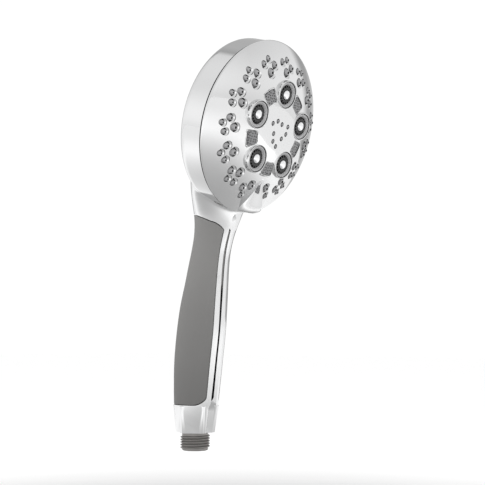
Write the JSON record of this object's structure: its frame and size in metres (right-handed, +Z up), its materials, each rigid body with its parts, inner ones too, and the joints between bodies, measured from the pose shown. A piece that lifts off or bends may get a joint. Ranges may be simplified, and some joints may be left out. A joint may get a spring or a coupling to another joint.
{
  "type": "handheld shower head",
  "caption": "Handheld shower head with a domed multi-spray face turned by a thumb tab, a soft wrap grip and a half-inch threaded inlet.",
  "frame": {"origin": "centre of the handle's lower end face, where the threaded nipple comes out", "axes": "+Z up the lower handle, -Y the side that sprays, +X to the right seen from the front"},
  "size_m": [0.1216, 0.1002, 0.2878],
  "materials": {
    "chrome": "polished",
    "grip": "soft matte",
    "dark_metal": "dark satin",
    "rubber": "matte",
    "soft_grey": "matte",
    "grey_plastic": "satin",
    "black_plastic": "satin",
    "pale_plastic": "satin",
    "steel": "satin"
  },
  "bodies": {
    "handset": {"body_shell": "chrome", "grip_pad": "grip", "inlet_nipple": "dark_metal", "nipple_oring": "rubber", "filter_screen": "steel", "flow_regulator": "pale_plastic", "check_valve_housing": "pale_plastic", "check_valve_spring": "steel", "water_tube": "pale_plastic", "manifold": "pale_plastic", "manifold_screw_1": "steel", "manifold_screw_2": "steel", "manifold_screw_3": "steel", "manifold_screw_4": "steel", "port_seal": "rubber", "tube_seal": "rubber", "detent_spring": "steel", "rim_seal": "black_plastic", "pivot_screw": "steel"},
    "spray_face": {"face_plate": "chrome", "nozzle_mat": "soft_grey", "centre_nozzles": "soft_grey", "selector_plate": "pale_plastic", "pivot_washer": "steel", "mist_pad_1": "grey_plastic", "mist_pad_2": "grey_plastic", "mist_pad_3": "grey_plastic", "mist_pad_4": "grey_plastic", "mist_pad_5": "grey_plastic", "jet_sleeve_1": "grey_plastic", "jet_pin_1": "chrome", "jet_sleeve_2": "grey_plastic", "jet_pin_2": "chrome", "jet_sleeve_3": "grey_plastic", "jet_pin_3": "chrome", "jet_sleeve_4": "grey_plastic", "jet_pin_4": "chrome", "jet_sleeve_5": "grey_plastic", "jet_pin_5": "chrome"},
    "check_valve": {"check_valve_poppet": "rubber"},
    "detent": {"detent_plunger": "pale_plastic"},
    "jet_rotor_1": {"jet_rotor_1": "black_plastic"},
    "jet_rotor_2": {"jet_rotor_2": "black_plastic"},
    "jet_rotor_3": {"jet_rotor_3": "black_plastic"},
    "jet_rotor_4": {"jet_rotor_4": "black_plastic"},
    "jet_rotor_5": {"jet_rotor_5": "black_plastic"}
  },
  "joints": [
    {"name": "spray_face_turn", "type": "hinge", "parent": "handset", "child": "spray_face", "pos_m": [0, -0.057, 0.213], "axis": [0, -0.9537, -0.3007], "range_deg": [-36, 36]},
    {"name": "check_valve_open", "type": "slide", "parent": "handset", "child": "check_valve", "axis": [0, 0, 1], "range_m": [0, 0.0025], "stiffness_N_per_m": 40, "springref_m": -0.001, "deforming": ["check_valve_spring"]},
    {"name": "detent_press", "type": "slide", "parent": "handset", "child": "detent", "axis": [0, 0.9537, 0.3007], "range_m": [0, 0.00025], "stiffness_N_per_m": 400, "springref_m": -0.002},
    {"name": "jet_spin_1", "type": "hinge", "parent": "spray_face", "child": "jet_rotor_1", "pos_m": [0, -0.06482, 0.2378], "axis": [0, -0.9537, -0.3007], "continuous": true},
    {"name": "jet_spin_2", "type": "hinge", "parent": "spray_face", "child": "jet_rotor_2", "pos_m": [-0.02473, -0.05942, 0.22066], "axis": [0, -0.9537, -0.3007], "continuous": true},
    {"name": "jet_spin_3", "type": "hinge", "parent": "spray_face", "child": "jet_rotor_3", "pos_m": [-0.01528, -0.05067, 0.19294], "axis": [0, -0.9537, -0.3007], "continuous": true},
    {"name": "jet_spin_4", "type": "hinge", "parent": "spray_face", "child": "jet_rotor_4", "pos_m": [0.01528, -0.05067, 0.19294], "axis": [0, -0.9537, -0.3007], "continuous": true},
    {"name": "jet_spin_5", "type": "hinge", "parent": "spray_face", "child": "jet_rotor_5", "pos_m": [0.02473, -0.05942, 0.22066], "axis": [0, -0.9537, -0.3007], "continuous": true}
  ]
}
